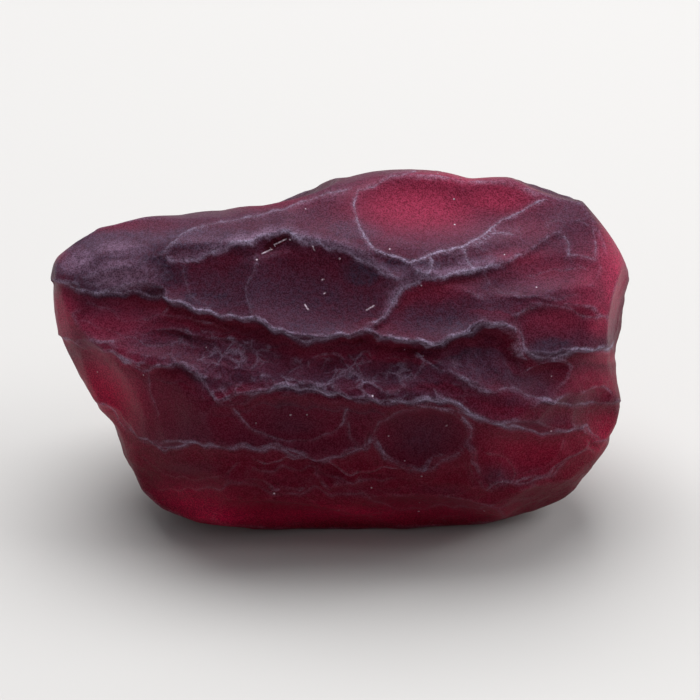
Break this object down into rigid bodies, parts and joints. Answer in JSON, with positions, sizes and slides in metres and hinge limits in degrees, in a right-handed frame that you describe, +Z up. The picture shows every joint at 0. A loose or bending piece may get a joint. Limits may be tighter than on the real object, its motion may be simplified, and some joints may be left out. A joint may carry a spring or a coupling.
{
  "type": "saffordite stone",
  "caption": "Rough pebble of translucent wine-dark volcanic glass, frosted and etched all over into scalloped bowls and ledges, resting on a small flat foot.",
  "frame": {"origin": "middle of the stone's bounding box in X and Y, at the level of its flat foot, which rests on the surface", "axes": "+X along the stone's length to the right of its scalloped face, +Y to its plain back, +Z up"},
  "size_m": [0.0362, 0.0196, 0.0223],
  "materials": {
    "frosted_glass": "dark wine-coloured volcanic glass with a natural frosted skin, blue-grey along the worn ridges"
  },
  "bodies": {
    "root": {"saffordite": "frosted_glass"}
  },
  "joints": []
}
